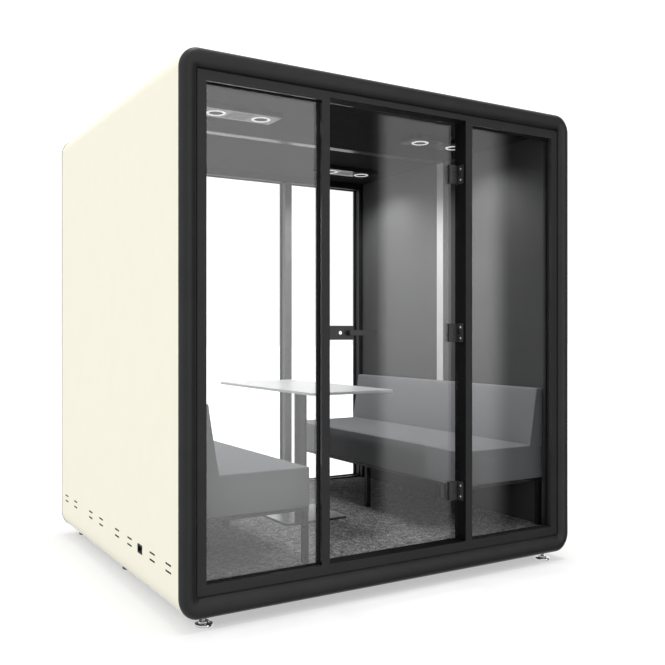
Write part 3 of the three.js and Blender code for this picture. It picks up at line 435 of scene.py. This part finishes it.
def frame_section(face, steps=14):
    points = [(FRAME_FLANGE_INSET, FRAME_FLANGE_Y), (FRAME_FLANGE_INSET, FRAME_SEAM_Y)]
    for step in range(steps + 1):
        angle = step / steps * math.pi / 2
        inset = FRAME_ROUND_WIDTH * (1 - math.cos(angle))
        points.append((inset, FRAME_SEAM_Y + FRAME_ROUND_DEPTH * math.sin(angle)))
    inner = FRAME_BAND - GROOVE_WIDTH - FRAME_ROUND_WIDTH
    for step in range(1, steps + 1):
        angle = step / steps * math.pi / 2
        inset = FRAME_ROUND_WIDTH + inner * math.sin(angle)
        points.append((inset, FRAME_FACE_Y + FRAME_CROWN * math.cos(angle)))
    groove = FRAME_BAND - GROOVE_WIDTH
    points += [(groove, FRAME_FACE_Y - GROOVE_DEPTH), (FRAME_BAND, FRAME_FACE_Y - GROOVE_DEPTH)]
    points.append((FRAME_BAND, FRAME_FLANGE_Y))
    return [(inset, face * y) for inset, y in points]


CORNER_STEPS = 20
for side, face in (("front", -1), ("rear", 1)):
    shape = swept(frame_path(CORNER_STEPS), FRAME_CORNER, frame_section(face))
    ring = make(f"{side}_bullnose_frame", *shape, CHARCOAL, slot="charcoal_frame")
    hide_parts(f"{side}_frame")


def box_faces(low, high):
    corners = [(x, y, z) for x in (low[0], high[0]) for y in (low[1], high[1]) for z in (low[2], high[2])]
    return corners, [(0, 1, 3, 2), (4, 6, 7, 5), (0, 4, 5, 1), (2, 3, 7, 6), (0, 2, 6, 4), (1, 5, 7, 3)]


def gathered(parts):
    vertices, faces = [], []
    for part_vertices, part_faces in parts:
        start = len(vertices)
        vertices += part_vertices
        faces += [tuple(index + start for index in face) for face in part_faces]
    return vertices, faces


def turned(profile, centre, axis="z", steps=48):
    vertices, faces = [], []
    count = len(profile)
    for i in range(steps):
        angle = 2 * math.pi * i / steps
        for radius, height in profile:
            a, b = radius * math.cos(angle), radius * math.sin(angle)
            spot = (a, b, height) if axis == "z" else (height, a, b)
            vertices.append(tuple(c + s for c, s in zip(centre, spot)))
    for i in range(steps):
        for j in range(count - 1):
            k = (i + 1) % steps
            faces.append((i * count + j, k * count + j, k * count + j + 1, i * count + j + 1))
    return vertices, faces


# Levelling feet with a threaded stem
FOOT_DISC = ((0.0, 0.0), (0.034, 0.0), (0.0365, 0.001), (0.038, 0.0035), (0.038, 0.0075), (0.0365, 0.010))
FOOT_NUT = ((0.034, 0.011), (0.0225, 0.0125), (0.021, 0.0145))
FOOT_COLLAR = ((0.021, 0.019), (0.0195, 0.0205), (0.0095, 0.0205))
THREAD_START = 0.0215
THREAD_PITCH = 0.0018
THREAD_CREST = 0.0090
THREAD_ROOT = 0.0078
THREAD_END_ROOM = 0.003


def foot_profile(top):
    profile = [*FOOT_DISC, *FOOT_NUT, *FOOT_COLLAR]
    height = THREAD_START
    while height < top - THREAD_END_ROOM:
        profile += [(THREAD_CREST, height), (THREAD_ROOT, height + THREAD_PITCH / 2)]
        height += THREAD_PITCH
    return profile + [(THREAD_CREST, top), (0.0, top)]


for row in ("front", "middle", "rear"):
    for side in ("left", "right"):
        low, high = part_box(f"foot_{row}_{side}")
        centre = ((low.x + high.x) / 2, (low.y + high.y) / 2, 0.0)
        # The middle and rear feet are the same chrome feet, given dark steel as painted shade for the shadow
        # under the pod
        foot_surface = CHROME if row == "front" else FOOT_STEEL_PAINTED_SHADE
        shape = turned(foot_profile(high.z), centre)
        foot = make(f"levelling_foot_{row}_{side}", *shape, foot_surface, slot="chrome_foot")
        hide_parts(f"foot_{row}_{side}")


# Gaskets between the fixed panes and their frames
PANE_BITE = 0.010
GASKET_WIDTH = 0.005
GASKET_DEPTH = 0.003
GASKET_GAP = 0.0002


def gasket(name, x, z, planes):
    bead = GASKET_WIDTH
    parts = []
    for y, out in planes:
        near, far = sorted((y, y + out * GASKET_DEPTH))
        parts.append(box_faces((x[0], near, z[0]), (x[1], far, z[0] + bead)))
        parts.append(box_faces((x[0], near, z[1] - bead), (x[1], far, z[1])))
        parts.append(box_faces((x[0], near, z[0] + bead), (x[0] + bead, far, z[1] - bead)))
        parts.append(box_faces((x[1] - bead, near, z[0] + bead), (x[1], far, z[1] - bead)))
    seal = make(name, *gathered(parts), RUBBER, slot="black_plastic")
    bevelled(seal, 0.0008)


for name in FIXED_PANES:
    low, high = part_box(name)
    x = (low.x + PANE_BITE, high.x - PANE_BITE)
    z = (low.z + PANE_BITE, high.z - PANE_BITE)
    gasket(f"gasket_{name}", x, z, ((low.y - GASKET_GAP, -1), (high.y + GASKET_GAP, 1)))


# Black inserts in the ventilation slots, with a lip on the face of the side panel; their near-black is partly
# the inserts' own black and partly painted shade for the inside of the slots
SLOT_HALF = 0.031
SLOT_HALF_HEIGHT = 0.0037
SLOT_ROWS = (0.216, 0.246)
SLOT_PLACES = (0.133, 0.323, 0.629, 0.822)
INSERT_PROUD = 0.0004
INSERT_DEPTH = 0.002
panel_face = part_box("left_side_panel")[0].x
inserts = []
for row in SLOT_ROWS:
    for place_y in SLOT_PLACES:
        for y in (-place_y, place_y):
            low = (panel_face - INSERT_PROUD, y - SLOT_HALF, row - SLOT_HALF_HEIGHT)
            high = (panel_face + INSERT_DEPTH, y + SLOT_HALF, row + SLOT_HALF_HEIGHT)
            inserts.append(box_faces(low, high))
make("vent_inserts_painted_shade", *gathered(inserts), SHADE_BLACK, slot="black_plastic")


# Screws in the hinge leaves, in a near-white diffuse paint as a painted glint on their metal heads
SCREW_DRIVE = ((0.0, 0.0), (0.0016, 0.0), (0.0020, -0.0011))
SCREW_HEAD = ((0.0036, -0.0013), (0.0046, -0.0006), (0.0048, 0.0006))
SCREW_STEPS = 24
SCREW_SPREAD = 0.026
SCREW_INSET = 0.018
LEAF_PAST_CLAMP = 0.0094
for level in HINGE_LEVELS:
    low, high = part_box(f"hinge_leaf_{level}")
    leaf_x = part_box(f"hinge_clamp_{level}")[1].x + LEAF_PAST_CLAMP
    screws = []
    for lift in (-SCREW_SPREAD, SCREW_SPREAD):
        spot = (leaf_x, low.y + SCREW_INSET, (low.z + high.z) / 2 + lift)
        screws.append(turned(SCREW_DRIVE + SCREW_HEAD, spot, "x", SCREW_STEPS))
    make(f"hinge_screws_{level}", *gathered(screws), SCREW_PAINTED_GLINT, slot="chrome_foot")


# Ceiling units: a flat housing with two ring lights, and in the middle dark discs as painted shade for the
# holes of a perforated grille
RING_INNER = ((0.0335, 0.003), (0.0335, -0.0018), (0.0348, -0.003))
RING_OUTER = ((0.0425, -0.003), (0.0455, -0.0012), (0.046, 0.0005), (0.046, 0.003))
RING_PROFILE = RING_INNER + RING_OUTER
CUP_PROFILE = ((0.0, -0.0006), (0.0330, -0.0006), (0.0334, 0.002))
HOLE_PROFILE = ((0.0, -0.0003), (0.0029, -0.0003), (0.0031, 0.0004))
HOLE_STEPS = 8
HOLE_PITCH = 0.0098
HOLES_EACH_WAY = 5
UNIT_LIP = 0.003
for row in ("front", "rear"):
    for side in ("left", "right"):
        low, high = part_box(f"ceiling_unit_{row}_{side}")
        x, y = (low.x + high.x) / 2, (low.y + high.y) / 2
        bottom = low.z + UNIT_LIP
        name = f"{row}_{side}"
        shape = box_faces((low.x, low.y, bottom), (high.x, high.y, high.z))
        housing = make(f"ceiling_housing_{name}", *shape, HOUSING, slot="lamp_white")
        bevelled(housing, 0.002, 3)
        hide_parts(f"ceiling_unit_{row}_{side}")
        rings, cups, hole_shade_discs = [], [], []
        for offset in (-LIGHT_OFFSET, LIGHT_OFFSET):
            rings.append(turned(RING_PROFILE, (x + offset, y, bottom)))
            cups.append(turned(CUP_PROFILE, (x + offset, y, bottom)))
        for i in range(-HOLES_EACH_WAY, HOLES_EACH_WAY + 1):
            for j in range(-HOLES_EACH_WAY, HOLES_EACH_WAY + 1):
                spot = (x + i * HOLE_PITCH, y + j * HOLE_PITCH, bottom)
                hole_shade_discs.append(turned(HOLE_PROFILE, spot, "z", HOLE_STEPS))
        make(f"ring_light_{name}", *gathered(rings), RING, slot="lamp_white")
        make(f"light_cup_{name}", *gathered(cups), DARK, slot="black_plastic")
        make(f"grille_painted_shade_{name}", *gathered(hole_shade_discs), DARK, slot="black_plastic")


# Bench cushions: upholstered blocks, crowned and drawn in, blown up a little as cloth
def grid_places(length, edge, step):
    inner = max(2, round((length - 2 * edge) / step))
    places = [0.0, edge * 0.15, edge * 0.45, edge]
    places += [edge + (length - 2 * edge) * i / inner for i in range(1, inner)]
    return places + [length - edge, length - edge * 0.45, length - edge * 0.15, length]


def soft_block(size, edge, step, shaping):
    grids = [grid_places(length, edge, step) for length in size]
    keys = {}
    vertices, faces = [], []

    def corner(i, j, k):
        if (i, j, k) not in keys:
            point = [grid[n] for grid, n in zip(grids, (i, j, k))]
            core = [min(max(value, edge), length - edge) for value, length in zip(point, size)]
            away = Vector(value - inside for value, inside in zip(point, core))
            away.normalize()
            rounded = [inside + edge * part for inside, part in zip(core, away)]
            unit = [2 * value / length - 1 for value, length in zip(rounded, size)]
            keys[(i, j, k)] = len(vertices)
            vertices.append(shaping(rounded, unit))
        return keys[(i, j, k)]

    counts = [len(grid) - 1 for grid in grids]
    for axis in range(3):
        u, v = [n for n in range(3) if n != axis]
        for end in (0, counts[axis]):
            for a in range(counts[u]):
                for b in range(counts[v]):
                    face = []
                    for da, db in ((0, 0), (1, 0), (1, 1), (0, 1)):
                        spot = [0, 0, 0]
                        spot[axis], spot[u], spot[v] = end, a + da, b + db
                        face.append(corner(*spot))
                    faces.append(tuple(face))
    return vertices, faces


CLOTH_STEPS = 20
CLOTH_PRESSURE = 3.0
CLOTH_SWELL = 0.0025
HELD_DEPTH = 0.012


def upholster(obj, fixed):
    mesh = obj.data
    rest = [vertex.co.copy() for vertex in mesh.vertices]
    held = obj.vertex_groups.new(name="held")
    held.add([i for i, co in enumerate(rest) if fixed(co)], 1.0, "REPLACE")
    cloth = obj.modifiers.new("cloth", "CLOTH")
    cloth.settings.quality = 5
    cloth.settings.mass = 0.4
    cloth.settings.tension_stiffness = 40
    cloth.settings.compression_stiffness = 40
    cloth.settings.bending_stiffness = 2.0
    cloth.settings.use_pressure = True
    cloth.settings.uniform_pressure_force = CLOTH_PRESSURE
    cloth.settings.effector_weights.gravity = 0
    cloth.settings.vertex_group_mass = "held"
    cloth.settings.pin_stiffness = 1.0
    cloth.collision_settings.use_collision = False
    cloth.collision_settings.use_self_collision = False
    scene = bpy.context.scene
    for step in range(1, CLOTH_STEPS + 1):
        scene.frame_set(step)
    graph = bpy.context.evaluated_depsgraph_get()
    blown = obj.evaluated_get(graph).to_mesh()
    moved = [vertex.co.copy() for vertex in blown.vertices]
    obj.evaluated_get(graph).to_mesh_clear()
    scene.frame_set(1)
    obj.modifiers.remove(cloth)
    obj.vertex_groups.clear()
    for vertex, start, end in zip(mesh.vertices, rest, moved):
        shift = end - start
        if shift.length > CLOTH_SWELL:
            shift = shift.normalized() * CLOTH_SWELL
        vertex.co = start + shift
    mesh.update()
    fine = obj.modifiers.new("smooth", "SUBSURF")
    fine.levels = 1
    fine.render_levels = 1


def crown(a, b):
    return (1 - a * a) * (1 - b * b)


SEAT_CROWN = 0.004
BACK_CROWN = 0.004
SIDE_PULL = 0.001
BACK_FOOT = 0.090
BACK_HEAD = 0.039
LEFT_BACK_THICKER = 0.034
CUSHION_EDGE = 0.006
CUSHION_STEP = 0.03
SEAT_ROOM = 0.001
BACK_REST = 0.016
BACK_PROUD = 0.0004
for side, sign in (("left", -1), ("right", 1)):
    low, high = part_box(f"bench_seat_{side}")
    front = min(abs(low.x), abs(high.x))
    wall = max(abs(low.x), abs(high.x))
    size = (wall - front, high.y - low.y, high.z - low.z - SEAT_CROWN - SEAT_ROOM)

    def seat_shape(point, unit, sign=sign, front=front, low=low):
        (x, y, z), (u, v, w) = point, unit
        x = front + x + SIDE_PULL * crown(v, w) * max(0.0, -u)
        y = low.y + y - SIDE_PULL * crown(u, w) * v
        z = low.z + z + SEAT_CROWN * crown(u, v) * max(0.0, w)
        return (sign * x, y, z)

    shape = soft_block(size, CUSHION_EDGE, CUSHION_STEP, seat_shape)
    seat = make(f"seat_cushion_{side}", *shape, FABRIC, slot="bench_fabric", sharp=180)
    upholster(seat, lambda co, floor=low.z: co.z < floor + HELD_DEPTH)
    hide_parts(f"bench_seat_{side}")

    low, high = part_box(f"bench_back_{side}")
    low.z -= BACK_REST
    wall = max(abs(low.x), abs(high.x))
    foot = BACK_FOOT + (LEFT_BACK_THICKER if side == "left" else 0.0)
    low.y -= BACK_PROUD
    high.y += BACK_PROUD
    size = (foot, high.y - low.y, high.z - low.z)

    def back_shape(point, unit, sign=sign, wall=wall, low=low, tall=high.z - low.z, foot=foot):
        (x, y, z), (u, v, w) = point, unit
        thick = foot + (BACK_HEAD - BACK_FOOT) * z / tall
        depth = (foot - x) / foot * thick
        x = wall - depth - BACK_CROWN * crown(v, w) * max(0.0, -u)
        y = low.y + y - SIDE_PULL * crown(u, w) * v
        return (sign * x, y, low.z + z)

    shape = soft_block(size, CUSHION_EDGE, CUSHION_STEP, back_shape)
    back = make(f"back_cushion_{side}", *shape, FABRIC, slot="bench_fabric", sharp=180)
    upholster(back, lambda co, wall=wall: abs(co.x) > wall - HELD_DEPTH)
    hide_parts(f"bench_back_{side}")


# Floor, light and camera
FLOOR_HALF = 60
floor_mesh = bpy.data.meshes.new("floor")
floor_corners = [(x * FLOOR_HALF, y * FLOOR_HALF, 0) for x, y in ((-1, -1), (1, -1), (1, 1), (-1, 1))]
floor_mesh.from_pydata(floor_corners, [], [(0, 1, 2, 3)])
floor = bpy.data.objects.new("floor", floor_mesh)
bpy.context.scene.collection.objects.link(floor)
floor_mat, floor_tree, floor_shader = new_material("pale_floor")
floor_shader.inputs["Base Color"].default_value = (0.56, 0.56, 0.56, 1.0)
floor_shader.inputs["Roughness"].default_value = 1.0
floor_shader.inputs["Specular IOR Level"].default_value = 0.0
floor_shader.inputs["Emission Color"].default_value = (1.0, 1.0, 1.0, 1.0)
# The floor glows less near the pod and more away from it: a painted shadow round the pod on top of the cast
# one, while far off the floor reads white
floor_parts = floor_tree.nodes.new("ShaderNodeSeparateXYZ")
floor_tree.links.new(place(floor_tree), floor_parts.inputs["Vector"])
past = []
for axis, half in (("X", FRAME_HALF), ("Y", FRAME_FACE_Y + FRAME_CROWN)):
    away = maths(floor_tree, "ABSOLUTE", floor_parts.outputs[axis], 0.0)
    past.append(maths(floor_tree, "SUBTRACT", away, half))
outside = maths(floor_tree, "MAXIMUM", past[0], past[1])
floor_glow_painted_shadow = ramp(floor_tree, outside, [(0.1, grey(0.46)), (0.45, grey(0.56)), (1.0, grey(1.0))])
floor_tree.links.new(floor_glow_painted_shadow, floor_shader.inputs["Emission Strength"])
floor_mesh.materials.append(floor_mat)
floor.visible_glossy = False
floor.visible_diffuse = False
floor.visible_shadow = False

world = bpy.data.worlds.new("studio")
bpy.context.scene.world = world
world.use_nodes = True
sky = world.node_tree
sky.nodes.clear()
coords = sky.nodes.new("ShaderNodeTexCoord").outputs["Generated"]
parts = sky.nodes.new("ShaderNodeSeparateXYZ")
sky.links.new(coords, parts.inputs["Vector"])
overhead = ramp(sky, maths(sky, "ADD", maths(sky, "MULTIPLY", parts.outputs["Z"], 0.5), 0.5), [
    (0.0, grey(0.10)),
    (0.46, grey(0.10)),
    (0.54, grey(0.14)),
    (1.0, grey(0.85)),
])
# A broad softbox lights the left side, a weaker one the right side
leftward = maths(sky, "MULTIPLY", parts.outputs["X"], -1.0)
left_box = maths(sky, "POWER", maths(sky, "MAXIMUM", leftward, 0.0), 4.0)
right_box = maths(sky, "POWER", maths(sky, "MAXIMUM", parts.outputs["X"], 0.0), 4.0)
aside = maths(sky, "ADD", maths(sky, "MULTIPLY", left_box, 2.40), maths(sky, "MULTIPLY", right_box, 1.0))
dome = maths(sky, "ADD", overhead, aside)
# Softboxes before the pod, by their bearing from the front towards the right, in hundreds of degrees
bearing = maths(sky, "ARCTAN2", parts.outputs["X"], maths(sky, "MULTIPLY", parts.outputs["Y"], -1.0))
turn = maths(sky, "MULTIPLY", bearing, 180.0 / math.pi / 100.0)
screens = ramp(sky, turn, [
    (0.0, grey(1.0)),
    (0.200, grey(0.9)),
    (0.222, grey(2.6)),
    (0.304, grey(2.6)),
    (0.3065, grey(0.0)),
    (0.343, grey(0.0)),
    (0.352, grey(1.35)),
    (0.420, grey(1.35)),
    (0.432, grey(0.0)),
    (0.700, grey(0.0)),
    (0.900, grey(1.2)),
])
sky_out = sky.nodes.new("ShaderNodeOutputWorld")
# How bright they are from low to high: the right one first, then the others
rise = maths(sky, "ADD", parts.outputs["Z"], 0.5)
tall = ramp(sky, rise, [
    (0.25, grey(0.35)),
    (0.37, grey(1.0)),
    (0.50, grey(1.75)),
    (0.58, grey(2.0)),
    (0.72, grey(1.15)),
])
fading = ramp(sky, rise, [
    (0.25, grey(0.72)),
    (0.32, grey(1.0)),
])


def light_shader(colour):
    made = sky.nodes.new("ShaderNodeBackground")
    sky.links.new(colour, made.inputs["Color"])
    return made.outputs["Background"]


past_start = maths(sky, "GREATER_THAN", turn, 0.335)
before_end = maths(sky, "LESS_THAN", turn, 0.44)
inside_band = maths(sky, "MULTIPLY", past_start, before_end)
scale = sky.nodes.new("ShaderNodeMix")
scale.data_type = "RGBA"
sky.links.new(inside_band, scale.inputs["Factor"])
sky.links.new(fading, scale.inputs["A"])
sky.links.new(tall, scale.inputs["B"])
product = sky.nodes.new("ShaderNodeMix")
product.data_type = "RGBA"
product.blend_type = "MULTIPLY"
product.inputs["Factor"].default_value = 1.0
sky.links.new(screens, product.inputs["A"])
sky.links.new(scale.outputs["Result"], product.inputs["B"])
# The dome lights surfaces, the softboxes show in gloss, and the camera sees white
path = sky.nodes.new("ShaderNodeLightPath")
white = sky.nodes.new("ShaderNodeBackground")
white.inputs["Strength"].default_value = 1.6
glossy_mix = sky.nodes.new("ShaderNodeMixShader")
sky.links.new(path.outputs["Is Glossy Ray"], glossy_mix.inputs["Fac"])
sky.links.new(light_shader(dome), glossy_mix.inputs[1])
sky.links.new(light_shader(product.outputs["Result"]), glossy_mix.inputs[2])
camera_mix = sky.nodes.new("ShaderNodeMixShader")
sky.links.new(path.outputs["Is Camera Ray"], camera_mix.inputs["Fac"])
sky.links.new(glossy_mix.outputs["Shader"], camera_mix.inputs[1])
sky.links.new(white.outputs["Background"], camera_mix.inputs[2])
sky.links.new(camera_mix.outputs["Shader"], sky_out.inputs["Surface"])

key = bpy.data.lights.new("overhead_key", "SUN")
key.energy = 1.1
key.angle = math.radians(24)
key_holder = bpy.data.objects.new("overhead_key", key)
key_holder.rotation_euler = (0.0, math.radians(4), 0.0)
bpy.context.scene.collection.objects.link(key_holder)

# Two downlights under the rings of each ceiling unit
lamp_power = {"front_left": 18.0, "front_right": 13.5, "rear_left": 18.0, "rear_right": 18.5}
for row in ("front", "rear"):
    for side in ("left", "right"):
        low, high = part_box(f"ceiling_unit_{row}_{side}")
        for offset in (-LIGHT_OFFSET, LIGHT_OFFSET):
            lamp = bpy.data.lights.new(f"downlight_{row}_{side}", "SPOT")
            lamp.energy = lamp_power[f"{row}_{side}"]
            lamp.spot_size = math.radians(156)
            lamp.spot_blend = 0.6
            lamp.shadow_soft_size = 0.04
            holder = bpy.data.objects.new(lamp.name, lamp)
            holder.location = ((low.x + high.x) / 2 + offset, (low.y + high.y) / 2, low.z - 0.01)
            holder.visible_glossy = False
            bpy.context.scene.collection.objects.link(holder)

lens = bpy.data.cameras.new("camera")
lens.lens = 45.0
lens.sensor_width = 36.0
camera = bpy.data.objects.new("camera", lens)
camera.location = (-2.2337, -4.0113, 1.1762)
camera.rotation_euler = (math.radians(90), 0.0, math.radians(-31.315))
bpy.context.scene.collection.objects.link(camera)
bpy.context.scene.camera = camera
bpy.context.scene.view_settings.view_transform = "Standard"
